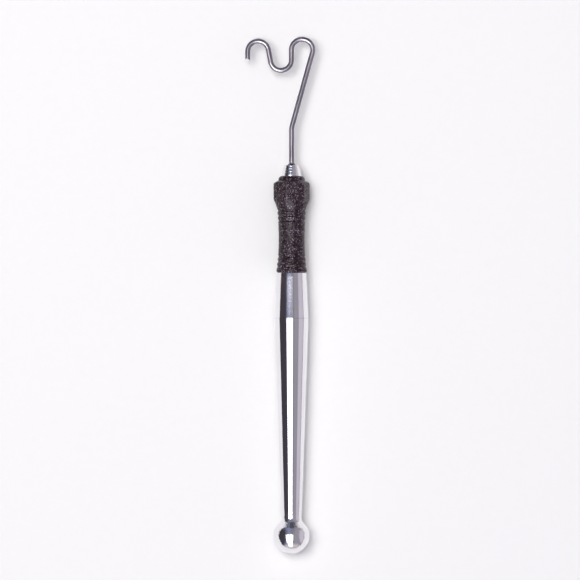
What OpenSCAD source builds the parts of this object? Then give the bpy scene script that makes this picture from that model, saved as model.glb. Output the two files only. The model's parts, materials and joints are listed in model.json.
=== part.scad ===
// Rotating whip finisher: a bent wire head that turns in a slim metal handle.
// The tool lies on a bench. Its spin axis runs along +Y, and the head is at the +Y end.

/* [Overall] */
// Length of the bare metal handle, from the bottom of the ball to the shoulder under the grip
handle_length = 84.2; // [70:0.1:101]
// Length of the grip sleeve
grip_length = 29; // [24:0.1:35]
// Length of the wire in front of the nose, to the top of the hairpin
wire_reach = 38.5; // [32:0.1:50]

/* [Handle] */
// Diameter of the ball at the end
ball_d = 10.86; // [9:0.02:13]
// Diameter of the neck above the ball
neck_d = 6.06; // [5:0.02:7.4]
// Lean of the flank between the ball and the neck
flank_lean = 40; // [30:1:45]
// Radius of the shoulder where the ball turns into that flank
ball_shoulder_r = 3.4; // [1.5:0.1:4]
// Radius of the hollow curve between the flank and the neck
cove_r = 1.9; // [0.5:0.1:2]
// Diameter of the ring where the handle is widest
ring_d = 10.2; // [9:0.1:12.4]
// Distance from that ring up to the shoulder
ring_to_shoulder = 14.2; // [8:0.1:20]
// Length of the rounded crest of that ring
ring_crest = 2.4; // [1:0.1:4]
// Diameter of the handle at the shoulder
shoulder_d = 8.88; // [7.4:0.02:9]
// Diameter of the spigot that the grip slides over
spigot_d = 5.6; // [4.6:0.1:6.8]

/* [Grip] */
// Diameter of the grip at its waist
waist_d = 7.66; // [7.4:0.02:8.4]
// How far the grip's lip stands out past the shoulder
lip_overhang = 0.06; // [0:0.01:0.3]
// Diameter just below the hexagonal head
throat_d = 8.6; // [8.2:0.02:9.2]
// Width of the hexagonal head across its flats
hex_flats = 9.84; // [9:0.02:11.9]
// How far the turned-down corners of the head stand out past its flats
corner_stand = 0.53; // [0.2:0.01:0.6]
// Angle that the head is turned about the long axis
hex_turn = 9.3; // [0:0.1:20]
// Length of the full-width part of the head
hex_length = 4.6; // [3:0.1:6]
// Length of the flare that leads into the head
flare_length = 2.8; // [2:0.1:4]
// Wall of the domed collar on top of the head
cap_wall = 0.95; // [0.9:0.05:1.4]
// Height of that collar
cap_height = 1.4; // [1:0.1:1.6]
// Length of the chamfer on top of the head
head_chamfer = 1; // [0.5:0.1:1.2]
// Rings cut at each end of the waist
rings = 3; // [0:1:4]
// Distance from one ring to the next
ring_pitch = 1.5; // [1.2:0.1:1.8]
// Depth of each ring
ring_depth = 0.2; // [0.05:0.01:0.25]
// Radius of the cutter that makes the rings
ring_cutter = 0.5; // [0.3:0.05:0.6]

/* [Nose] */
// How far the base of the nose reaches out over the grip
nose_ledge = 0.25; // [0.2:0.05:0.35]
// Diameter of the nose at its tip
nose_tip_d = 4.5; // [3.8:0.1:5]
// Length of the nose cone
nose_length = 3.3; // [2.5:0.1:5]
// Length of the shank that holds the nose in the handle
shank_length = 7; // [5:0.1:9]

/* [Bearings] */
// Diameter of the bearing chamber in the spigot
chamber_d = 3.8; // [3.15:0.05:4.2]
// Wall of the front bush
front_bush_wall = 0.4; // [0.3:0.05:0.6]
// Length of the front bush inside the nose
front_bush_length = 6; // [4:0.1:8]
// How far the rim of the front bush stands proud of the nose
bush_rim = 0.4; // [0.3:0.05:1]
// Wall of that rim
rim_wall = 0.15; // [0.1:0.05:0.3]
// Wall of the rear bush below its flange
rear_bush_wall = 0.7; // [0.3:0.05:0.75]
// Length of the rear bush below its flange
rear_bush_length = 6; // [4:0.1:8]
// Thickness of the rear bush's flange
flange_t = 0.6; // [0.4:0.05:1]
// Thickness of each thrust washer
washer_t = 0.3; // [0.2:0.05:0.5]
// Length of the stop collar
collar_length = 4; // [3:0.1:6]
// Diameter of the set screw in the collar
screw_d = 1.4; // [1:0.1:1.6]
// Width across the flats of the screw's socket
screw_socket = 0.7; // [0.5:0.05:0.9]
// How far the wire's tail stops short of the rear bush's end
tail_setback = 1; // [0.5:0.1:3]

/* [Wire] */
// Diameter of the wire
wire_d = 1.5; // [1.25:0.05:1.8]
// Lean of the long leg away from the spin axis
leg_lean = 15.5; // [13:0.5:18]
// Centreline radius of the elbow
elbow_r = 6; // [3:0.5:10]
// Centreline radius of the hairpin
hairpin_r = 3.2; // [2.5:0.05:3.8]
// Centreline radius of the U notch
notch_r = 3.15; // [2.5:0.05:3.8]
// Centreline radius of the hook
hook_r = 3.1; // [2.5:0.05:3.8]
// Distance of the short leg from the spin axis, on the hook's side
short_leg_offset = 0.05; // [0:0.05:0.6]
// Length of the straight between hairpin and notch
short_leg_length = 3; // [2:0.1:5]
// Lean of the straight between notch and hook
hook_lean = 11; // [5:0.5:15]
// Length of the straight between notch and hook
hook_leg_length = 3.8; // [2.5:0.1:6]
// Length of the hook's straight end
hook_end_length = 2.9; // [1.5:0.1:4]
// Slant of the cut at the hook's end
end_slant = 18; // [0:1:30]

/* [Fits] */
// Radial clearance of the wire in its bushes
running_fit = 0.05; // [0.02:0.01:0.08]
// Radial clearance of the stop collar in its chamber
collar_clearance = 0.15; // [0.1:0.01:0.2]
// End play of the collar at each washer
end_play = 0.05; // [0.03:0.01:0.1]

/* [Hidden] */
$fn = 96;

// An overrun keeps a cutter's faces off the faces that it cuts.
overrun = 0.5;
arc_steps = 12;
waist_steps = 16;
edge_chamfer = 0.25;
foot_length = 0.9;
bore_relief = 0.5;
bend_lap = 0.1;
bend_thinning = 0.005;

ball_r = ball_d / 2;
wire_r = wire_d / 2;
bend_wire_r = wire_r - bend_thinning;
hex_corners = hex_flats + 2 * corner_stand;
lip_d = shoulder_d + 2 * lip_overhang;
cap_d = spigot_d + 2 * cap_wall;
nose_base_d = spigot_d + 2 * nose_ledge;
bush_bore_d = wire_d + 2 * running_fit;
front_bush_d = bush_bore_d + 2 * front_bush_wall;
rear_bush_d = bush_bore_d + 2 * rear_bush_wall;
washer_bore_d = wire_d + 4 * running_fit;
collar_d = chamber_d - 2 * collar_clearance;

// Heights along the spin axis, from the bottom of the ball
shoulder_height = handle_length;
ring_height = shoulder_height - ring_to_shoulder;
grip_top = shoulder_height + grip_length;
nose_tip = grip_top + nose_length;
shank_end = grip_top - shank_length;
front_washer_base = shank_end - washer_t;
collar_base = front_washer_base - end_play - collar_length;
rear_washer_base = collar_base - end_play - washer_t;
flange_base = rear_washer_base - flange_t;
rear_bush_base = flange_base - rear_bush_length;
tail_end = rear_bush_base + tail_setback;
bore_end = rear_bush_base - bore_relief;
overall_length = nose_tip + wire_reach;
screw_height = collar_base + collar_length / 2;

// Centre of the hairpin, and the length of the long leg that reaches it from the elbow's corner
hairpin_x = hairpin_r - short_leg_offset;
hairpin_height = overall_length - bend_wire_r - hairpin_r;
corner_to_hairpin = (hairpin_x + hairpin_r * cos(leg_lean)) / sin(leg_lean);
elbow_corner = hairpin_height - hairpin_r * sin(leg_lean) - corner_to_hairpin * cos(leg_lean);
elbow_setback = elbow_r * tan(leg_lean / 2);
shaft_length = elbow_corner - elbow_setback - tail_end;
long_leg_length = corner_to_hairpin - elbow_setback;

// Reach of the head to each side of the spin axis, which centres the tool in its box
hook_x = -short_leg_offset - notch_r - (notch_r + hook_r) * cos(hook_lean)
         - hook_leg_length * sin(hook_lean);
reach_left = -hook_x + hook_r + wire_r;
reach_right = hairpin_x + hairpin_r + bend_wire_r;
axis_x = (reach_left - reach_right) / 2;
axis_z = max(ball_d, ring_d, hex_corners * cos(30 - hex_turn)) / 2;

// Points of an arc in the plane of a turned profile
function arc(centre, r, from, to, steps = arc_steps) =
    [for (i = [0 : steps]) let (a = from + (to - from) * i / steps)
        centre + r * [cos(a), sin(a)]];

// Radius of the grip's hollow waist at a height: a parabola from the waist to each end
waist_foot = shoulder_height + foot_length;
waist_head = grip_top - cap_height - head_chamfer - hex_length - flare_length;
waist_middle = (waist_foot + waist_head) / 2;
waist_half = (waist_head - waist_foot) / 2;
foot_ring = 0.9;
head_ring = 0.6;
function waist_r(height) =
    let (t = (height - waist_middle) / waist_half, end_d = t < 0 ? lip_d : throat_d)
    waist_d / 2 + (end_d - waist_d) / 2 * t * t;

// Puts a shape that is turned about Z on the spin axis, with its heights along +Y
module on_axis() {
    translate([axis_x, -overall_length / 2, axis_z]) rotate([-90, 0, 0]) children();
}

// A plain tube between two heights
module tube(outer_d, inner_d, from, to) {
    translate([0, 0, from]) difference() {
        cylinder(d = outer_d, h = to - from);
        translate([0, 0, -overrun]) cylinder(d = inner_d, h = to - from + 2 * overrun);
    }
}

// A run of wire that starts along +Z: each step is [length], or [radius, turn towards +X].
// The wire thins a little in its bends, and each straight laps over the ends of its bends.
module bent_wire(steps, i = 0) {
    if (i < len(steps)) {
        step = steps[i];
        if (len(step) == 1) {
            lap_before = i == 0 ? 0 : bend_lap;
            lap_after = i == len(steps) - 1 ? 0 : bend_lap;
            translate([0, 0, -lap_before])
                cylinder(d = wire_d, h = step[0] + lap_before + lap_after);
            translate([0, 0, step[0]]) bent_wire(steps, i + 1);
        } else {
            r = step[0];
            turn = abs(step[1]);
            rotate([0, 0, step[1] < 0 ? 180 : 0]) translate([r, 0, 0]) rotate([90, 0, 0])
                rotate_extrude(angle = turn, start = 180 - turn)
                translate([r, 0]) circle(r = bend_wire_r);
            translate([sign(step[1]) * r * (1 - cos(turn)), 0, r * sin(turn)])
                rotate([0, step[1], 0]) bent_wire(steps, i + 1);
        }
    }
}

module handle() {
    // The ball turns into its shoulder here, the shoulder into the flank, the flank into the cove.
    turn_in = 12;
    ball_centre = [0, ball_r];
    shoulder_centre = ball_centre + (ball_r - ball_shoulder_r) * [cos(turn_in), sin(turn_in)];
    flank_top = shoulder_centre + ball_shoulder_r * [cos(flank_lean), sin(flank_lean)];
    neck_corner = flank_top[1] + (flank_top[0] - neck_d / 2) / tan(flank_lean);
    cove_centre = [neck_d / 2 + cove_r, neck_corner + cove_r * tan(flank_lean / 2)];
    crest_drop = 0.04;
    profile = concat(
        arc(ball_centre, ball_r, -90, turn_in, 2 * arc_steps),
        arc(shoulder_centre, ball_shoulder_r, turn_in, flank_lean, arc_steps / 2),
        arc(cove_centre, cove_r, 180 + flank_lean, 180, arc_steps / 2),
        [for (t = [-1 : 0.5 : 1]) [ring_d / 2 - crest_drop * t * t, ring_height + t * ring_crest / 2]],
        [[shoulder_d / 2, shoulder_height],
         [spigot_d / 2, shoulder_height],
         [spigot_d / 2, grip_top - edge_chamfer],
         [spigot_d / 2 - edge_chamfer, grip_top],
         [0, grip_top]]);
    color("silver") on_axis() difference() {
        rotate_extrude() polygon(profile);
        translate([0, 0, flange_base])
            cylinder(d = chamber_d, h = grip_top - flange_base + overrun);
        translate([0, 0, bore_end])
            cylinder(d = rear_bush_d, h = flange_base - bore_end + overrun);
    }
}

module grip() {
    head_top = grip_top - cap_height;
    flat_top = head_top - head_chamfer;
    flat_foot = flat_top - hex_length;
    lip_round = 0.5;
    // The dome of the collar reaches in by this much, which leaves a land for the nose.
    cap_round = 0.65;
    cap_foot = 0.1;
    // The corners of the head ease in by this much, over twice this height.
    ease = 0.15;
    flare_hollow = 0.1;
    outline = concat(
        [[0, shoulder_height], [lip_d / 2 - lip_round, shoulder_height]],
        arc([lip_d / 2 - lip_round, shoulder_height + lip_round], lip_round, -60, 0, 4),
        [for (i = [0 : waist_steps])
            let (height = waist_foot + (waist_head - waist_foot) * i / waist_steps)
            [waist_r(height), height]],
        [[(throat_d + hex_corners) / 4 - flare_hollow, flat_foot - flare_length / 2],
         [hex_corners / 2 - ease, flat_foot - 2 * ease],
         [hex_corners / 2, flat_foot],
         [hex_corners / 2, flat_top],
         [hex_corners / 2 - ease, flat_top + 2 * ease],
         [cap_d / 2 + cap_foot, head_top],
         [cap_d / 2, head_top + cap_foot]],
        [for (a = [90 / arc_steps : 90 / arc_steps : 90])
            [cap_d / 2 - cap_round * (1 - cos(a)),
             head_top + cap_foot + (cap_height - cap_foot) * sin(a)]],
        [[0, grip_top]]);
    color([0.2, 0.18, 0.18]) on_axis() difference() {
        intersection() {
            rotate_extrude() polygon(outline);
            // At no turn, two of the six flats face straight up and down.
            rotate([0, 0, hex_turn]) translate([0, 0, shoulder_height - overrun])
                cylinder(d = hex_flats / cos(30), h = grip_length + 2 * overrun, $fn = 6);
        }
        translate([0, 0, shoulder_height - overrun])
            cylinder(d = spigot_d, h = grip_length + 2 * overrun);
        for (i = [0 : 1 : rings - 1])
            for (height = [waist_foot + foot_ring + i * ring_pitch,
                           waist_head - head_ring - i * ring_pitch])
                rotate_extrude()
                    translate([waist_r(height) + ring_cutter - ring_depth, height])
                    circle(r = ring_cutter, $fn = 32);
    }
}

module nose() {
    bevel = 0.2;
    profile = [[0, shank_end], [chamber_d / 2 - bevel, shank_end],
               [chamber_d / 2, shank_end + bevel], [chamber_d / 2, grip_top],
               [nose_base_d / 2, grip_top], [nose_tip_d / 2 + bevel / 4, nose_tip - bevel],
               [nose_tip_d / 2 - bevel, nose_tip], [0, nose_tip]];
    bush_seat = nose_tip - front_bush_length;
    color("gainsboro") on_axis() difference() {
        rotate_extrude() polygon(profile);
        translate([0, 0, bush_seat])
            cylinder(d = front_bush_d, h = front_bush_length + overrun);
        translate([0, 0, shank_end - overrun])
            cylinder(d = washer_bore_d, h = bush_seat - shank_end + 2 * overrun);
    }
}

module front_bush() {
    color("black") on_axis() difference() {
        union() {
            translate([0, 0, nose_tip - front_bush_length])
                cylinder(d = front_bush_d, h = front_bush_length);
            translate([0, 0, nose_tip]) cylinder(d = bush_bore_d + 2 * rim_wall, h = bush_rim);
        }
        translate([0, 0, nose_tip - front_bush_length - overrun])
            cylinder(d = bush_bore_d, h = front_bush_length + bush_rim + 2 * overrun);
    }
}

module washer(base) {
    color("goldenrod") on_axis()
        tube(chamber_d - 2 * running_fit, washer_bore_d, base, base + washer_t);
}

module front_washer() {
    washer(front_washer_base);
}

module rear_washer() {
    washer(rear_washer_base);
}

module rear_bush() {
    color("black") on_axis() difference() {
        union() {
            translate([0, 0, flange_base]) cylinder(d = chamber_d, h = flange_t);
            translate([0, 0, rear_bush_base]) cylinder(d = rear_bush_d, h = rear_bush_length);
        }
        translate([0, 0, rear_bush_base - overrun])
            cylinder(d = bush_bore_d, h = rear_bush_length + flange_t + 2 * overrun);
    }
}

module wire() {
    path = [[shaft_length],
            [elbow_r, leg_lean],
            [long_leg_length],
            [hairpin_r, -180 - leg_lean],
            [short_leg_length],
            [notch_r, 180 - hook_lean],
            [hook_leg_length],
            [hook_r, -180 + hook_lean],
            [hook_end_length]];
    // The end of the hook is snipped off on a slant, which clears the whole end of the last straight.
    snip = 4 * wire_d;
    snip_margin = 0.05;
    end_height = hairpin_height - short_leg_length - (notch_r + hook_r) * sin(hook_lean)
                 + hook_leg_length * cos(hook_lean) - hook_end_length;
    color([0.55, 0.52, 0.56]) on_axis() difference() {
        translate([0, 0, tail_end]) bent_wire(path);
        translate([hook_x - hook_r + wire_r, 0, end_height + snip_margin]) rotate([0, end_slant, 0])
            translate([-snip / 2, -snip / 2, -snip]) cube(snip);
    }
}

module collar() {
    color("dimgray") on_axis() difference() {
        tube(collar_d, wire_d, collar_base, collar_base + collar_length);
        translate([0, 0, screw_height]) rotate([0, 90, 0]) cylinder(d = screw_d, h = collar_d);
    }
}

module set_screw() {
    // A flat foot on the wire's crown, and a head just under the collar's surface
    foot = wire_r;
    head = sqrt(pow(collar_d, 2) - pow(screw_d, 2)) / 2;
    color("black") on_axis() translate([foot, 0, screw_height]) rotate([0, 90, 0]) difference() {
        cylinder(d = screw_d, h = head - foot);
        translate([0, 0, (head - foot) / 2])
            cylinder(d = screw_socket / cos(30), h = head - foot, $fn = 6);
    }
}

handle();
grip();
nose();
front_bush();
front_washer();
rear_washer();
rear_bush();
wire();
collar();
set_screw();
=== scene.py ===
"""A rotating whip finisher on a pale bench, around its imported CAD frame.

Turned metal pieces are profiles carried round the spin axis, the grip is a turned and faceted surface
with a crinkle grain, and the wire is a round section carried along its bent centreline.
"""

import json
import math

import bpy
import numpy as np
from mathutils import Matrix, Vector


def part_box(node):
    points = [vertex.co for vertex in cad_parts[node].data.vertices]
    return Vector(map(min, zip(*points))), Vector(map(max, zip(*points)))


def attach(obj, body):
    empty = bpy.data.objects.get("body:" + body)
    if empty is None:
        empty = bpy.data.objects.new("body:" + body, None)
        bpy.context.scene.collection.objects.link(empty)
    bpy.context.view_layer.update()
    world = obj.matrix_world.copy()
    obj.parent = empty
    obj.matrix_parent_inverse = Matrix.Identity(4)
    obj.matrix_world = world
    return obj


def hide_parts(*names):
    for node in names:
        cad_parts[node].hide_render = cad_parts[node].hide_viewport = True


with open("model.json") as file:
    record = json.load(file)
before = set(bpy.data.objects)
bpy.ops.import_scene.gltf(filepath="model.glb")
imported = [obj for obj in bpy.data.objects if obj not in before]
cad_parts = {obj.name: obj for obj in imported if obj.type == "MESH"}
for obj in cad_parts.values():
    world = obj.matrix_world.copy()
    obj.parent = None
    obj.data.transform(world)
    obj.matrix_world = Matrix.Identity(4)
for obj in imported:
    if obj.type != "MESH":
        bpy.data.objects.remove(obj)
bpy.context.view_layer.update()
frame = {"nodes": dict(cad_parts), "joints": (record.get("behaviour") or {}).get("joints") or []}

MM = 0.001

# ---------------------------------------------------------------- places, from the frame

joint = next(j for j in frame["joints"] if j["name"] == "hook_spin")
AXIS_X = joint["pos_m"][0]
AXIS_Z = joint["pos_m"][2]
handle_lo = np.array(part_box("handle")[0])
grip_lo, grip_hi = (np.array(c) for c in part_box("grip"))
nose_lo, nose_hi = (np.array(c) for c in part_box("nose"))
bush_lo, bush_hi = (np.array(c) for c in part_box("front_bush"))
wire_lo, wire_hi = (np.array(c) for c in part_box("wire"))
rear_lo, rear_hi = (np.array(c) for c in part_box("rear_bush"))

START = handle_lo[1]
SHOULDER = grip_lo[1] - START
GRIP_TOP = grip_hi[1] - START
NOSE_TIP = nose_hi[1] - START
SHANK_END = nose_lo[1] - START
BUSH_SEAT = bush_lo[1] - START
BUSH_TOP = bush_hi[1] - START
WIRE_TOP = wire_hi[1] - START
WIRE_TAIL = wire_lo[1] - START
REAR_TOP = rear_hi[1] - START
REAR_END = rear_lo[1] - START
WIRE_R = (wire_hi[2] - wire_lo[2]) / 2
FRONT_BUSH_R = (bush_hi[0] - bush_lo[0]) / 2
CHAMBER_R = (rear_hi[0] - rear_lo[0]) / 2

# ---------------------------------------------------------------- mesh helpers


def finished_piece(mesh, materials, sharp):
    """An object from a mesh, shaded smooth, with edges that turn by more than `sharp` degrees kept
    crisp."""
    mesh.validate()
    mesh.shade_smooth()
    if sharp is not None:
        mesh.set_sharp_from_angle(angle=math.radians(sharp))
    for material in materials:
        mesh.materials.append(material)
    piece = bpy.data.objects.new(mesh.name, mesh)
    bpy.context.scene.collection.objects.link(piece)
    return piece


def mesh_piece(name, points, quads, material, sharp=None):
    """An object from an (n, 3) array of points and an (m, 4) array of faces."""
    mesh = bpy.data.meshes.new(name)
    mesh.vertices.add(len(points))
    mesh.vertices.foreach_set("co", np.asarray(points, np.float32).ravel())
    mesh.loops.add(quads.size)
    mesh.loops.foreach_set("vertex_index", quads.astype(np.int32).ravel())
    mesh.polygons.add(len(quads))
    mesh.polygons.foreach_set("loop_start", np.arange(0, quads.size, 4, dtype=np.int32))
    mesh.update(calc_edges=True)
    return finished_piece(mesh, [material], sharp)


def capped_piece(name, points, poles, around, materials, sharp):
    """An object from rings of `around` points, with a fan of faces from the first ring to the first
    pole, and from the last ring to the last pole. The last fan takes the last material."""
    rows = len(points) // around
    here = np.arange(around)
    there = (here + 1) % around
    last = (rows - 1) * around
    first_pole, last_pole = rows * around, rows * around + 1
    fans = np.concatenate([np.stack([np.full(around, first_pole), there, here], -1),
                           np.stack([np.full(around, last_pole), last + here, last + there], -1)])
    mesh = bpy.data.meshes.new(name)
    faces = [*map(tuple, grid_quads(rows, around).tolist()), *map(tuple, fans.tolist())]
    mesh.from_pydata(np.concatenate([points, poles]).tolist(), [], faces)
    piece = finished_piece(mesh, materials, sharp)
    slots = np.zeros(len(mesh.polygons), np.int32)
    slots[-around:] = len(materials) - 1
    mesh.polygons.foreach_set("material_index", slots)
    return piece


def grid_quads(rows, columns, wrap_rows=False):
    """Faces of a grid that wraps round in its columns, and in its rows too if wrap_rows."""
    i = np.arange(rows if wrap_rows else rows - 1)[:, None]
    j = np.arange(columns)[None, :]
    here, there = i * columns, (i + 1) % rows * columns
    left, right = j, (j + 1) % columns
    return np.stack([here + left, here + right, there + right, there + left], -1).reshape(-1, 4)


def on_axis(radius, angle, height):
    """Cylindrical coordinates about the spin axis to the row frame. Angle 0 is up, and it grows
    towards +X."""
    return np.stack([AXIS_X + radius * np.sin(angle),
                     START + height + 0 * angle,
                     AXIS_Z + radius * np.cos(angle)], -1)


def rounded(corners, step=0.08 * MM):
    """A closed polyline with its corners rounded. Each corner is (radius, height, rounding), and a
    corner of rounding r is replaced by an arc of radius r that is tangent to both of its sides."""
    p = np.array([c[:2] for c in corners], float)
    before = np.roll(p, 1, 0) - p
    after = np.roll(p, -1, 0) - p
    out = []
    for here, a, b, (_, _, r) in zip(p, before, after, corners):
        if r == 0:
            out.append(here[None])
            continue
        a, b = a / np.linalg.norm(a), b / np.linalg.norm(b)
        half = math.acos(np.clip(a @ b, -1, 1)) / 2
        reach = r / math.tan(half)
        centre = here + (a + b) / np.linalg.norm(a + b) * r / math.sin(half)
        first, last = here + a * reach - centre, here + b * reach - centre
        turn = math.atan2(first[0] * last[1] - first[1] * last[0], first @ last)
        t = np.linspace(0, turn, max(3, int(abs(turn) * r / step)))[:, None]
        out.append(centre + first * np.cos(t) + np.array([-first[1], first[0]]) * np.sin(t))
    return np.concatenate(out)


def refined(line, step):
    """An open polyline with its long sides cut into pieces no longer than step."""
    out = []
    for a, b in zip(line[:-1], line[1:]):
        n = max(1, int(np.ceil(np.linalg.norm(b - a) / step)))
        out.append(a + (b - a) * np.arange(n)[:, None] / n)
    return np.concatenate(out + [line[-1:]])


def refined_loop(profile, step):
    """The same for a closed polyline, whose last point joins its first."""
    return refined(np.concatenate([profile, profile[:1]]), step)[:-1]


def carried_round(profile, around):
    """The points of a profile of (radius, height), carried round the spin axis ring by ring."""
    angle = np.linspace(0, 2 * np.pi, around, endpoint=False)
    return on_axis(profile[:, :1], angle[None, :], profile[:, 1:]).reshape(-1, 3)


def turned(name, profile, material, around, sharp=35):
    """A ring-shaped solid of revolution, from a closed profile listed with the solid on its left."""
    points = carried_round(profile, around)
    return mesh_piece(name, points, grid_quads(len(profile), around, True), material, sharp)


# ---------------------------------------------------------------- shader helpers


class S:
    """A shader socket with arithmetic: an expression on values adds its Math nodes."""

    def __init__(self, tree, socket):
        self.tree, self.socket = tree, socket

    def math(self, operation, *values):
        """A Math node of these values."""
        return self.tree.node("ShaderNodeMath", {"operation": operation}, *values)

    def __add__(self, other):
        return self.math("ADD", self, other)

    def __radd__(self, other):
        return self.math("ADD", other, self)

    def __sub__(self, other):
        return self.math("SUBTRACT", self, other)

    def __rsub__(self, other):
        return self.math("SUBTRACT", other, self)

    def __mul__(self, other):
        return self.math("MULTIPLY", self, other)

    def __rmul__(self, other):
        return self.math("MULTIPLY", other, self)

    def __pow__(self, other):
        return self.math("POWER", self, other)

    def smooth(self, low, high, to_low=0.0, to_high=1.0):
        """A smooth step of this value from low to high."""
        return self.tree.node("ShaderNodeMapRange", {"interpolation_type": "SMOOTHSTEP"},
                              Value=self, **{"From Min": low, "From Max": high,
                                             "To Min": to_low, "To Max": to_high})


class Tree:
    """A node tree that is written as expressions."""

    def __init__(self, owner):
        owner.use_nodes = True
        self.nodes, self.links = owner.node_tree.nodes, owner.node_tree.links
        self.nodes.clear()

    def put(self, socket, value):
        """Links a socket to a value, or sets its constant."""
        if isinstance(value, S):
            self.links.new(value.socket, socket)
        else:
            socket.default_value = value

    def node(self, kind, settings=None, *values, output=0, **named):
        """A node of a kind, with its settings made first, then its sockets by place or by name."""
        n = self.nodes.new(kind)
        result = S(self, n.outputs[output]) if len(n.outputs) else None
        for key, value in (settings or {}).items():
            if key == "ramp":
                ramp = n.color_ramp
                while len(ramp.elements) < len(value):
                    ramp.elements.new(0.5)
                for element, (at, colour) in zip(ramp.elements, value):
                    element.position, element.color = at, (*colour, 1)
            else:
                setattr(n, key, value)
        for socket, value in zip(n.inputs, values):
            self.put(socket, value)
        for key, value in named.items():
            self.put(n.inputs[key], value)
        return result

    def mix(self, factor, a, b):
        """A colour between a and b."""
        n = self.nodes.new("ShaderNodeMix")
        n.data_type = "RGBA"
        self.put(n.inputs[0], factor)
        for socket, value in ((n.inputs[6], a), (n.inputs[7], b)):
            self.put(socket, value if isinstance(value, S) else (*value, 1))
        return S(self, n.outputs[2])

    def apart(self, vector):
        """The three components of a vector."""
        n = self.nodes.new("ShaderNodeSeparateXYZ")
        self.links.new(vector.socket, n.inputs[0])
        return [S(self, o) for o in n.outputs]

    def place(self, scale, turn=(0, 0, 0)):
        """Object coordinates, centred on the spin axis and stretched. Scales are per metre."""
        where = self.node("ShaderNodeTexCoord", output=3)
        centred = self.node("ShaderNodeVectorMath", {"operation": "SUBTRACT"}, where,
                            (AXIS_X, START, AXIS_Z))
        return self.node("ShaderNodeMapping", None, centred, Scale=scale, Rotation=turn)

    def parts(self):
        """Height along the spin axis and distance from it."""
        x, y, z = self.apart(self.node("ShaderNodeTexCoord", output=3))
        x, y, z = x - AXIS_X, y - START, z - AXIS_Z
        return y, (x * x + z * z) ** 0.5

    def noise(self, where, scale, detail=3.0, rough=0.5):
        """Soft cloudy noise from 0 to 1."""
        return self.node("ShaderNodeTexNoise", None, Vector=where, Scale=scale, Detail=detail,
                         Roughness=rough)

    def bump(self, height, depth):
        """The normal of a surface with this relief, whose height of 1 is `depth` metres."""
        return self.node("ShaderNodeBump", None, Height=height, Distance=depth)


class Finish(Tree):
    """A material."""

    def __init__(self, name):
        self.material = bpy.data.materials.new(name)
        super().__init__(self.material)

    def finish(self, **sockets):
        """The material, with a principled surface of these sockets."""
        surface = self.node("ShaderNodeBsdfPrincipled", None, **sockets)
        self.node("ShaderNodeOutputMaterial", None, surface)
        return self.material


def polished_metal(name, colour, warm, rough_low, rough_high, lathe=0.25, polish_from=None):
    """Turned and polished metal: fine lines from the lathe round the axis, a few long handling
    scratches and faint smears. A piece with polish_from is satin above that height, with a thin line
    of painted shade where the two meet, and its ball end is rippled, and mottled towards the neck."""
    f = Finish(name)
    height, _ = f.parts()
    rings = f.noise(f.place((60, 26000, 60)), 1.0, 2.0)
    lines = f.noise(f.place((900, 55, 900), (0.0, 0.0, 0.35)), 1.0, 4.0, 0.7)
    smear = f.noise(f.place((90, 60, 90)), 1.0, 3.0)
    grit = f.noise(f.place((2300, 1500, 2300), (0.0, 0.0, 0.6)), 1.0, 2.0, 0.6)
    ripple = f.noise(f.place((650, 1500, 650)), 1.0, 2.0)
    scratch = lines.smooth(0.66, 0.74)
    tint = f.mix(smear.smooth(0.3, 0.75), colour, warm)
    rough = smear.smooth(0.35, 0.7, rough_low, rough_high) + 0.10 * scratch * smear
    relief = scratch * 0.5 + grit * 1.3
    if polish_from is None:
        relief = rings * lathe + relief
    else:
        satin = height.smooth(polish_from - 0.2 * MM, polish_from + 0.2 * MM)
        ball = height.smooth(14 * MM, 10 * MM)
        mottled = ball * height.smooth(4.5 * MM, 8 * MM)
        rough = rough + satin * smear.smooth(0.3, 0.75, 0.02, 0.06)
        rough = rough + ball * smear.smooth(0.3, 0.7, 0.03, 0.09)
        relief = rings * (satin * (lathe * 4.0) + lathe) + relief
        relief = relief + satin * (grit * 6.0) + ball * (ripple * 8.0 + grit * 16.0)
        relief = relief + mottled * (grit * 34.0)
        # A thin line of painted shade: the base colour darkens just above polish_from, standing in for the
        # shade at the crease there.
        shade_line_foot = height.smooth(polish_from + 0.35 * MM, polish_from + 0.5 * MM)
        shade_line_head = height.smooth(polish_from + 0.75 * MM, polish_from + 0.6 * MM)
        tint = f.mix(shade_line_foot * shade_line_head * 0.22, tint, (0.45, 0.44, 0.46))
    return f.finish(**{"Base Color": tint, "Metallic": 1.0, "Roughness": rough,
                       "Normal": f.bump(relief, 0.0012 * MM)})


def spring_wire():
    """Drawn spring wire: dull dark steel with a purple cast, drawing lines along its length, dull and
    brighter patches and small dark specks."""
    f = Finish("spring_wire")
    lines = f.noise(f.place((5200, 240, 5200)), 1.0, 3.0, 0.6)
    patches = f.noise(f.place((380, 210, 380)), 1.0, 3.0)
    specks = f.noise(f.place((4200, 4200, 4200)), 1.0, 2.0)
    tint = f.mix(patches.smooth(0.32, 0.68), (0.205, 0.19, 0.22), (0.27, 0.25, 0.285))
    tint = f.mix(specks.smooth(0.62, 0.8, 0.0, 0.6), tint, (0.13, 0.11, 0.135))
    rough = patches.smooth(0.3, 0.7, 0.28, 0.36) + lines * 0.08
    return f.finish(**{"Base Color": tint, "Metallic": 1.0, "Roughness": rough,
                       "Normal": f.bump(lines + specks * 0.4, 0.003 * MM)})


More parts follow.
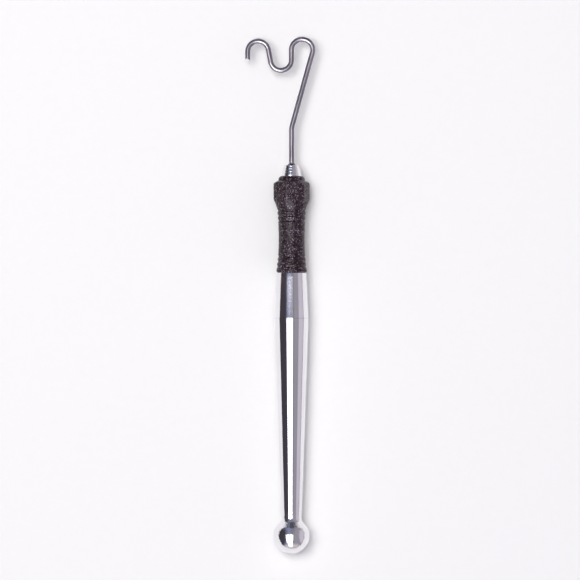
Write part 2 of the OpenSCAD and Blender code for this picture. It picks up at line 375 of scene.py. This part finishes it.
def crinkled_black():
    """Black moulding with a crinkle grain: a brown-black ground, and small raised beads, some of them
    paler, partly worn on their tops and partly painted glints, that shine like a clear coat and catch the
    light one by one. Beads towards the hex corners are painted paler still, partly wear and partly a
    painted edge highlight."""
    f = Finish("crinkled_black")
    _, distance = f.parts()
    where = f.place((1, 1, 1))
    patches = f.noise(where, 1100.0, 2.0)
    cells = f.node("ShaderNodeTexVoronoi", {"feature": "F1"}, Vector=where, Scale=2150.0)
    pits = f.noise(where, 3400.0, 1.0)
    bead = cells.smooth(0.44, 0.12)
    # Painted glint: the paler beads stand partly for wear on the crinkle tops and partly for glints of light
    # painted into the colour.
    wear_and_painted_glint = bead * patches.smooth(0.36, 0.62, 0.12, 0.9)
    tint = f.mix(wear_and_painted_glint, (0.015, 0.0045, 0.009), (0.40, 0.33, 0.42))
    # Painted highlight: beads towards the hex corners and the flare's edge are painted paler, partly as wear
    # on the edges and partly as a painted edge highlight.
    corner = distance.smooth(4.6 * MM, 5.4 * MM) * bead
    tint = f.mix(corner * 0.5, tint, (0.20, 0.135, 0.16))
    return f.finish(**{"Base Color": tint, "Roughness": patches.smooth(0.3, 0.7, 0.24, 0.38),
                       "Specular IOR Level": 0.22, "Coat Weight": bead, "Coat Roughness": 0.2,
                       "Normal": f.bump(bead + pits * 0.6, 0.08 * MM)})


def plain_black(name):
    """Turned black bearing plastic: fine lathe rings and a faint grey bloom."""
    f = Finish(name)
    rings = f.noise(f.place((60, 9000, 60)), 1.0, 2.0)
    bloom = f.noise(f.place((700, 700, 700)), 1.0, 3.0)
    tint = f.mix(bloom.smooth(0.4, 0.75), (0.004, 0.004, 0.005), (0.016, 0.015, 0.017))
    return f.finish(**{"Base Color": tint, "Roughness": bloom.smooth(0.3, 0.7, 0.4, 0.6),
                       "Specular IOR Level": 0.12, "Normal": f.bump(rings, 0.003 * MM)})


def turned_metal(name, dark, light, rough):
    """Small turned metal parts: lathe rings, stains and a mottled roughness."""
    f = Finish(name)
    rings = f.noise(f.place((80, 14000, 80)), 1.0, 2.0)
    stain = f.noise(f.place((900, 900, 900)), 1.0, 4.0)
    tint = f.mix(stain.smooth(0.3, 0.7), dark, light)
    return f.finish(**{"Base Color": tint, "Metallic": 1.0,
                       "Roughness": stain.smooth(0.3, 0.7, rough, rough + 0.15),
                       "Normal": f.bump(rings + stain * 0.3, 0.002 * MM)})


# ---------------------------------------------------------------- the handle

BALL_R = AXIS_Z
NECK_R = 3.03 * MM
FLANK_LEAN = math.radians(40)
BALL_SHOULDER_R = 3.4 * MM
COVE_R = 1.9 * MM
TURN_IN = math.radians(12)
RING_R = 5.1 * MM
RING = SHOULDER - 14.2 * MM
SHOULDER_R = 4.44 * MM
SPIGOT_R = 2.8 * MM


def arc(centre, r, start, end, n):
    """Points of an arc in the profile plane."""
    t = np.linspace(start, end, n)[:, None]
    return np.array(centre) + r * np.concatenate([np.cos(t), np.sin(t)], 1)


def handle_profile():
    """Ball, shoulder arc, straight flank, cove, long taper, parabolic crest, short taper, spigot and
    the stepped bore. It starts near the pole of the ball and ends at the foot of the bore."""
    ball = np.array([0, BALL_R])
    near_pole = 0.02 - math.pi / 2
    turn = np.array([math.cos(TURN_IN), math.sin(TURN_IN)])
    flank = np.array([math.cos(FLANK_LEAN), math.sin(FLANK_LEAN)])
    shoulder = ball + (BALL_R - BALL_SHOULDER_R) * turn
    flank_top = shoulder + BALL_SHOULDER_R * flank
    neck = flank_top[1] + (flank_top[0] - NECK_R) / math.tan(FLANK_LEAN)
    cove = (NECK_R + COVE_R, neck + COVE_R * math.tan(FLANK_LEAN / 2))
    crest_drop, crest_half = 0.04 * MM, 1.2 * MM
    t = np.linspace(-1, 1, 15)[:, None]
    crest = np.concatenate([RING_R - crest_drop * t * t, RING + crest_half * t], 1)
    edge, chamfer = 0.12 * MM, 0.25 * MM
    rear_r = 1.5 * MM
    step_at = REAR_TOP - 0.6 * MM
    inside = np.array([
        (SHOULDER_R - edge, SHOULDER), (SPIGOT_R, SHOULDER), (SPIGOT_R, GRIP_TOP - chamfer),
        (SPIGOT_R - chamfer, GRIP_TOP), (CHAMBER_R, GRIP_TOP), (CHAMBER_R, step_at),
        (rear_r, step_at), (rear_r, REAR_END - 0.5 * MM)])
    return np.concatenate([
        arc(ball, BALL_R, near_pole, TURN_IN, 90),
        arc(shoulder, BALL_SHOULDER_R, TURN_IN, FLANK_LEAN, 14)[1:],
        arc(cove, COVE_R, math.pi + FLANK_LEAN, math.pi, 14),
        crest,
        arc((SHOULDER_R - edge, SHOULDER - edge), edge, 0, math.pi / 2, 6)[:-1],
        inside])


def build_handle():
    """The handle in one turning, closed at the ball's pole and at the foot of its bore."""
    around = 192
    metal = polished_metal("polished_aluminium", (0.86, 0.86, 0.88), (0.82, 0.80, 0.83),
                           0.045, 0.085, polish_from=RING)
    profile = refined(handle_profile(), 1.2 * MM)
    first_r, first_height = profile[0]
    pole_dip = 0.5 * first_r ** 2 / BALL_R
    poles = np.array([[AXIS_X, START + first_height - pole_dip, AXIS_Z],
                      [AXIS_X, START + profile[-1, 1], AXIS_Z]])
    piece = capped_piece("handle_turning", carried_round(profile, around), poles, around, [metal], 35)
    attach(piece, "handle_body")
    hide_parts("handle")


# ---------------------------------------------------------------- the grip

HEX_FLAT = 4.92 * MM
HEX_CORNER = 5.45 * MM
HEX_TURN = math.radians(9.3)
WAIST_R = 3.83 * MM
LIP_R = 4.5 * MM
THROAT_R = 4.3 * MM
FOOT = SHOULDER + 0.9 * MM
HEAD = GRIP_TOP - 9.8 * MM
FLAT_TOP = GRIP_TOP - 2.4 * MM
FLAT_FOOT = FLAT_TOP - 4.6 * MM
CAP_R = 3.9 * MM
CAP_REACH = 0.95 * MM
CAP_FOOT = 1.3 * MM
RINGS = 3
RING_PITCH = 1.5 * MM
RING_DEPTH = 0.2 * MM
RING_HALF = 0.36 * MM
HEX_EDGE = 0.15 * MM
CRINKLE_DEPTH = 0.021 * MM


def smooth_steps(s, knots):
    """A curve through (height, radius) knots that eases between them with no overshoot: a cubic
    Hermite with harmonic-mean slopes."""
    k = np.array(knots, float)
    h, d = np.diff(k[:, 0]), np.diff(k[:, 1]) / np.diff(k[:, 0])
    same = d[:-1] * d[1:] > 0
    inner = np.where(same, 2 * d[:-1] * d[1:] / np.where(same, d[:-1] + d[1:], 1), 0)
    slope = np.concatenate([[d[0]], inner, [d[-1]]])
    i = np.clip(np.searchsorted(k[:, 0], s) - 1, 0, len(h) - 1)
    t = (s - k[i, 0]) / h[i]
    return ((1 + 2 * t) * (1 - t) ** 2 * k[i, 1] + t * (1 - t) ** 2 * h[i] * slope[i]
            + t * t * (3 - 2 * t) * k[i + 1, 1] + t * t * (t - 1) * h[i] * slope[i + 1])


def grip_radius(s):
    """The grip's turned outline: a parabolic waist with round-bottomed rings, the flare, the head and
    the round collar on top."""
    middle, half = (FOOT + HEAD) / 2, (HEAD - FOOT) / 2
    t = (s - middle) / half
    waist = WAIST_R + np.where(t < 0, LIP_R - WAIST_R, THROAT_R - WAIST_R) * t * t
    for i in range(RINGS):
        for at in (FOOT + 0.9 * MM + i * RING_PITCH, HEAD - 0.6 * MM - i * RING_PITCH):
            waist = waist - RING_DEPTH * np.clip(1 - ((s - at) / RING_HALF) ** 2, 0, 1)
    head = smooth_steps(np.clip(s, HEAD, FLAT_TOP), [
        (HEAD, THROAT_R), (FLAT_FOOT - 1.4 * MM, 4.78 * MM), (FLAT_FOOT - 0.3 * MM, HEX_CORNER - HEX_EDGE),
        (FLAT_FOOT, HEX_CORNER), (FLAT_TOP, HEX_CORNER)])
    return np.where(s < HEAD, waist, head)


def soft_least(a, b, k):
    """The lesser of a and b, with the edge between them rounded over a width k."""
    h = np.clip(0.5 + 0.5 * (b - a) / k, 0, 1)
    return b + (a - b) * h - k * h * (1 - h)


def grain(angle, s, seed=7, waves=90):
    """A fixed crinkle: the sum of many short waves in random directions on the unrolled surface, whose
    whole number of turns closes it round the axis."""
    rng = np.random.default_rng(seed)
    turns = rng.integers(16, 66, waves) * rng.choice([-1, 1], waves)
    along = rng.uniform(-14.0, 14.0, waves) / MM
    phase = rng.uniform(0, 2 * np.pi, waves)
    total = np.zeros(np.broadcast(angle, s).shape)
    for n, k, p in zip(turns, along, phase):
        total += np.sin(n * angle + k * s + p)
    return total / math.sqrt(waves / 2)


def build_grip():
    """The outer surface is the lesser of the turned outline and the hexagon, with soft edges, then the
    crinkle. The domed collar, the bore and the foot close it, and stay plain where they seat."""
    around, step = 356, 0.124 * MM
    lip_round = 0.5 * MM
    body_s = np.linspace(SHOULDER + lip_round, FLAT_TOP, int((FLAT_TOP - SHOULDER) / step))
    body = np.stack([grip_radius(body_s), body_s], 1)
    foot = arc((LIP_R - lip_round, SHOULDER + lip_round), lip_round, -math.pi / 2, 0, 10)[:-1]
    lift = np.linspace(0, np.pi / 2, 16)
    dome = np.stack([CAP_R - CAP_REACH * (1 - np.cos(lift)), GRIP_TOP - CAP_FOOT * (1 - np.sin(lift))], 1)
    top = np.concatenate([
        [(HEX_CORNER - HEX_EDGE, FLAT_TOP + 0.3 * MM), (CAP_R + 0.1 * MM, GRIP_TOP - CAP_FOOT - 0.1 * MM)],
        dome,
        [(SPIGOT_R, GRIP_TOP)]])
    bore = np.array([(SPIGOT_R, GRIP_TOP), (SPIGOT_R, SHOULDER)])
    outline = np.concatenate([foot, body, refined(top, 0.12 * MM), refined(bore, 3 * MM)[1:]])
    angle = np.linspace(0, 2 * np.pi, around, endpoint=False)[None, :]
    r, s = outline[:, :1], outline[:, 1:]
    to_flat = (angle - HEX_TURN + np.pi / 6) % (np.pi / 3) - np.pi / 6
    hexagon = HEX_FLAT / np.cos(to_flat)
    outer = np.broadcast_to(r > SPIGOT_R + 0.05 * MM, (len(r), around))
    shaped = np.where(outer, soft_least(r + 0 * angle, hexagon, 0.16 * MM), r + 0 * angle)
    away_from_seats = np.clip((r - SPIGOT_R - 0.5 * MM) / (0.4 * MM), 0, 1)
    off_foot = np.clip((s - SHOULDER) / (0.3 * MM), 0, 1)
    shaped = shaped + CRINKLE_DEPTH * grain(angle, s) * away_from_seats * off_foot
    shaped = np.where(outer, np.minimum(shaped, HEX_CORNER), shaped)
    points = on_axis(shaped, angle, s).reshape(-1, 3)
    piece = mesh_piece("grip_moulding", points, grid_quads(len(outline), around, True), crinkled_black(), 60)
    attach(piece, "handle_body")
    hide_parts("grip")


# ---------------------------------------------------------------- the nose and its bush


def build_nose():
    """The cone with rounded edges and shallow round-bottomed tool rings, the shank and the stepped
    bore."""
    base_r, tip_r = 3.05 * MM, 2.25 * MM
    hole_r = 0.85 * MM
    ring_pitch, ring_half, ring_depth = 0.8 * MM, 0.14 * MM, 0.035 * MM
    profile = refined_loop(rounded([
        (CHAMBER_R, SHANK_END, 0.15 * MM), (CHAMBER_R, GRIP_TOP, 0), (base_r, GRIP_TOP, 0.06 * MM),
        (tip_r, NOSE_TIP, 0.18 * MM), (FRONT_BUSH_R, NOSE_TIP, 0), (FRONT_BUSH_R, BUSH_SEAT, 0),
        (hole_r, BUSH_SEAT, 0), (hole_r, SHANK_END, 0)], 0.03 * MM), 0.05 * MM)
    height = profile[:, 1] - GRIP_TOP
    from_ring = (height + 0.05 * MM) % ring_pitch - ring_pitch / 2
    on_cone = (profile[:, 0] > FRONT_BUSH_R + 0.3 * MM) & (height > 0.15 * MM)
    profile[:, 0] -= on_cone * ring_depth * np.clip(1 - (from_ring / ring_half) ** 2, 0, 1)
    metal = polished_metal("bright_nose_metal", (0.88, 0.88, 0.89), (0.82, 0.81, 0.82),
                           0.15, 0.22, lathe=1.2)
    piece = turned("nose_turning", profile, metal, around=120)
    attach(piece, "handle_body")
    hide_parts("nose")


def build_front_bush():
    """A tube whose rim, in front of the nose, is thinner than the rest."""
    bore_r = WIRE_R + 0.05 * MM
    rim_r = bore_r + 0.15 * MM
    rim_top = BUSH_TOP - 0.03 * MM
    profile = rounded([
        (FRONT_BUSH_R, BUSH_SEAT, 0.05 * MM), (FRONT_BUSH_R, NOSE_TIP + 0.05 * MM, 0.05 * MM),
        (rim_r, rim_top, 0.04 * MM), (bore_r, rim_top, 0.03 * MM), (bore_r, BUSH_SEAT, 0.03 * MM)],
        0.02 * MM)
    profile = refined_loop(profile, 0.4 * MM)
    piece = turned("front_bush_turning", profile, plain_black("bush_black"), around=96)
    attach(piece, "handle_body")
    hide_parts("front_bush")


# ---------------------------------------------------------------- the wire

HAIRPIN_R = 3.2 * MM
NOTCH_R = 3.15 * MM
HOOK_R = 3.1 * MM
ELBOW_R = 6 * MM
LEG_LEAN = math.radians(15.5)
HOOK_LEAN = math.radians(11)
SHORT_LEG_OFFSET = 0.05 * MM
SHORT_LEG = 3 * MM
HOOK_LEG = 3.8 * MM
HOOK_END = 2.9 * MM
END_SLANT = math.radians(18)
END_PINCH = math.radians(28)


def wire_steps():
    """The wire's straights (length, 0) and bends (radius, turn towards +X), from its tail."""
    hairpin_x = HAIRPIN_R - SHORT_LEG_OFFSET
    hairpin_s = WIRE_TOP - WIRE_R - HAIRPIN_R
    corner = (hairpin_x + HAIRPIN_R * math.cos(LEG_LEAN)) / math.sin(LEG_LEAN)
    elbow = hairpin_s - HAIRPIN_R * math.sin(LEG_LEAN) - corner * math.cos(LEG_LEAN)
    setback = ELBOW_R * math.tan(LEG_LEAN / 2)
    return [(elbow - setback - WIRE_TAIL, 0), (ELBOW_R, LEG_LEAN), (corner - setback, 0),
            (HAIRPIN_R, -math.pi - LEG_LEAN), (SHORT_LEG, 0), (NOTCH_R, math.pi - HOOK_LEAN),
            (HOOK_LEG, 0), (HOOK_R, -math.pi + HOOK_LEAN), (HOOK_END, 0)]


def wire_line(step):
    """Points of the centreline and its headings from +Y towards +X, both as whole arrays."""
    at, heading = np.array([0.0, WIRE_TAIL]), 0.0
    places, headings = [at[None]], [np.zeros(1)]
    for size, turn in wire_steps():
        if turn == 0:
            n = max(2, int(size / (4 * step)))
            t = np.linspace(0, 1, n + 1)[1:]
            run = at + size * t[:, None] * np.array([math.sin(heading), math.cos(heading)])
            face = np.full(n, heading)
        else:
            n = max(4, int(abs(turn) * size / step))
            face = heading + turn * np.linspace(0, 1, n + 1)[1:]
            side = math.copysign(size, turn)
            centre = at + side * np.array([math.cos(heading), -math.sin(heading)])
            run = centre - side * np.stack([np.cos(face), -np.sin(face)], 1)
        places.append(run)
        headings.append(face)
        at, heading = run[-1], face[-1]
    return np.concatenate(places), np.concatenate(headings)


def build_wire():
    """A circle carried along the centreline, with a small round at the tail and a slanted snip at the
    hook."""
    around = 40
    line, heading = wire_line(0.16 * MM)
    round_over = 0.12 * MM
    lead = round_over * np.linspace(0, 1, 5)[:-1]
    tail_r = WIRE_R - round_over + np.sqrt(round_over ** 2 - (round_over - lead) ** 2)
    tail_s = np.append(WIRE_TAIL + lead, WIRE_TAIL + round_over)
    line = np.concatenate([np.stack([0 * tail_s, tail_s], 1), line[1:]])
    heading = np.concatenate([0 * tail_s, heading[1:]])
    radius = np.concatenate([tail_r, np.full(len(line) - len(tail_r), WIRE_R)])
    a = np.linspace(0, 2 * np.pi, around, endpoint=False)[None, :]
    across = radius[:, None] * np.cos(a)
    x = line[:, :1] + across * np.cos(heading)[:, None]
    s = line[:, 1:] - across * np.sin(heading)[:, None]
    z = radius[:, None] * np.sin(a) + 0 * x
    # The snip: the last ring slides back along the wire onto two slanted planes that meet in a ridge.
    s[-1] += (math.tan(END_SLANT) * (line[-1, 0] + WIRE_R - x[-1])
              + math.tan(END_PINCH) * np.abs(z[-1]))
    points = np.stack([AXIS_X + x, START + s, AXIS_Z + z], -1).reshape(-1, 3)
    ridge = points[-around:][np.abs(z[-1]) < 0.01 * MM].mean(0)
    poles = np.array([[AXIS_X, START + WIRE_TAIL, AXIS_Z], ridge])
    cut_steel = turned_metal("cut_steel", (0.62, 0.60, 0.63), (0.80, 0.79, 0.81), 0.18)
    piece = capped_piece("bent_wire", points, poles, around, [spring_wire(), cut_steel], 40)
    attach(piece, "hook_body")
    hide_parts("wire")


# ---------------------------------------------------------------- inner pieces


def dress(node, material):
    """Gives a CAD node a finish, in place of the plain one."""
    mesh = frame["nodes"][node].data
    mesh.materials.clear()
    mesh.materials.append(material)


def dress_inner_pieces():
    """Brass washers, black bush, steel collar and blackened screw."""
    brass = turned_metal("washer_brass", (0.60, 0.43, 0.17), (0.74, 0.57, 0.28), 0.22)
    dress("front_washer", brass)
    dress("rear_washer", brass)
    dress("rear_bush", plain_black("rear_bush_black"))
    dress("collar", turned_metal("collar_steel", (0.33, 0.33, 0.35), (0.50, 0.50, 0.52), 0.25))
    dress("set_screw", turned_metal("screw_steel", (0.035, 0.035, 0.04), (0.09, 0.09, 0.10), 0.35))


# ---------------------------------------------------------------- bench, light and camera

FIELD = 174 * MM
VIEW_X = AXIS_X - 0.48 * MM
VIEW_Y = START + 79 * MM
CAMERA_HEIGHT = 1.5
BENCH_HALF = 3.0


def build_bench():
    """A pale bench with a faint tooth."""
    f = Finish("bench_white")
    tooth = f.noise(f.place((400, 400, 400)), 1.0, 3.0)
    tint = f.mix(tooth, (0.93, 0.93, 0.93), (0.955, 0.955, 0.955))
    material = f.finish(**{"Base Color": tint, "Roughness": tooth.smooth(0.3, 0.7, 0.8, 0.9),
                           "Specular IOR Level": 0.0})
    n = 8
    u = np.linspace(-BENCH_HALF, BENCH_HALF, n)
    x, y = np.meshgrid(u, u)
    points = np.stack([x, y, 0 * x], -1).reshape(-1, 3)
    i, j = np.meshgrid(np.arange(n - 1), np.arange(n - 1), indexing="ij")
    a = (i * n + j).ravel()
    quads = np.stack([a, a + 1, a + n + 1, a + n], -1)
    mesh_piece("bench", points, quads, material)


def area_light(name, place, aim, size, power, colour=(1, 1, 1), glossy=True, diffuse=True):
    """A rectangular soft light that faces a point."""
    light = bpy.data.lights.new(name, "AREA")
    light.shape = "RECTANGLE"
    light.size, light.size_y = size
    light.energy = power
    light.color = colour
    lamp = bpy.data.objects.new(name, light)
    bpy.context.scene.collection.objects.link(lamp)
    lamp.location = place
    direction = np.array(aim, float) - np.array(place, float)
    lamp.rotation_euler = Vector(direction).to_track_quat("-Z", "Y").to_euler()
    lamp.visible_glossy = glossy
    lamp.visible_diffuse = diffuse
    lamp.visible_camera = False


def studio_world():
    """A dim grey room, told by direction: dark low down on the -X side, bluish above it, paler towards
    +X, a dark far wall past the wire end, a pinkish near wall past the ball and a darker horizon."""
    world = bpy.data.worlds.new("studio")
    bpy.context.scene.world = world
    t = Tree(world)
    x, y, z = t.apart(t.node("ShaderNodeTexCoord"))
    sides = t.node("ShaderNodeValToRGB", {"ramp": [
        (0.0, (0.06, 0.05, 0.06)), (0.17, (0.055, 0.05, 0.065)), (0.235, (0.16, 0.17, 0.26)),
        (0.38, (0.29, 0.31, 0.46)), (0.49, (0.20, 0.19, 0.25)), (0.60, (0.24, 0.23, 0.27)),
        (0.70, (0.33, 0.32, 0.37)), (0.87, (0.33, 0.31, 0.35)), (0.90, (0.62, 0.57, 0.65)),
        (1.0, (0.60, 0.56, 0.64))]}, x * 0.5 + 0.5)
    near_wall = (-1 * y).smooth(0.70, 0.93, 0.0, 0.85)
    room = t.mix(near_wall, sides, (0.74, 0.66, 0.69))
    shade = y.smooth(0.88, 0.95, 1.0, 0.3) * z.smooth(0.01, 0.10, 0.55, 1.0)
    light = t.node("ShaderNodeBackground", None, room, shade)
    t.node("ShaderNodeOutputWorld", None, light)


def build_light():
    """The room, a key for the shadow, and a softbox with a hot core for the metal."""
    studio_world()
    # The key throws the soft shadow to the right and down, and isn't seen in the metal.
    area_light("key", (-0.31, 0.22, 1.5), (0, 0, 0), (0.95, 0.95), 20.5, (1, 0.985, 0.94), glossy=False)
    # The softbox is what the metal shows: it hangs from above the tool towards -Y and -X.
    area_light("softbox", (-0.68, -5.83, 2.5), (-0.68, -5.83, 0), (2.14, 12.0), 125, diffuse=False)
    # Its hot core is picked up by what is rough or bent.
    area_light("core", (-0.66, -1.44, 2.4), (-0.66, -1.44, 0), (1.1, 2.6), 130, diffuse=False)


def build_camera():
    """A long lens that looks straight down."""
    camera = bpy.data.cameras.new("camera")
    camera.sensor_width = 36
    camera.lens = camera.sensor_width * CAMERA_HEIGHT / FIELD
    camera.clip_start, camera.clip_end = 0.01, 20
    holder = bpy.data.objects.new("camera", camera)
    bpy.context.scene.collection.objects.link(holder)
    holder.location = (VIEW_X, VIEW_Y, CAMERA_HEIGHT + AXIS_Z)
    bpy.context.scene.camera = holder


build_camera()
build_light()
build_bench()
build_handle()
build_grip()
build_nose()
build_front_bush()
build_wire()
dress_inner_pieces()
bpy.context.scene.view_settings.view_transform = "Standard"
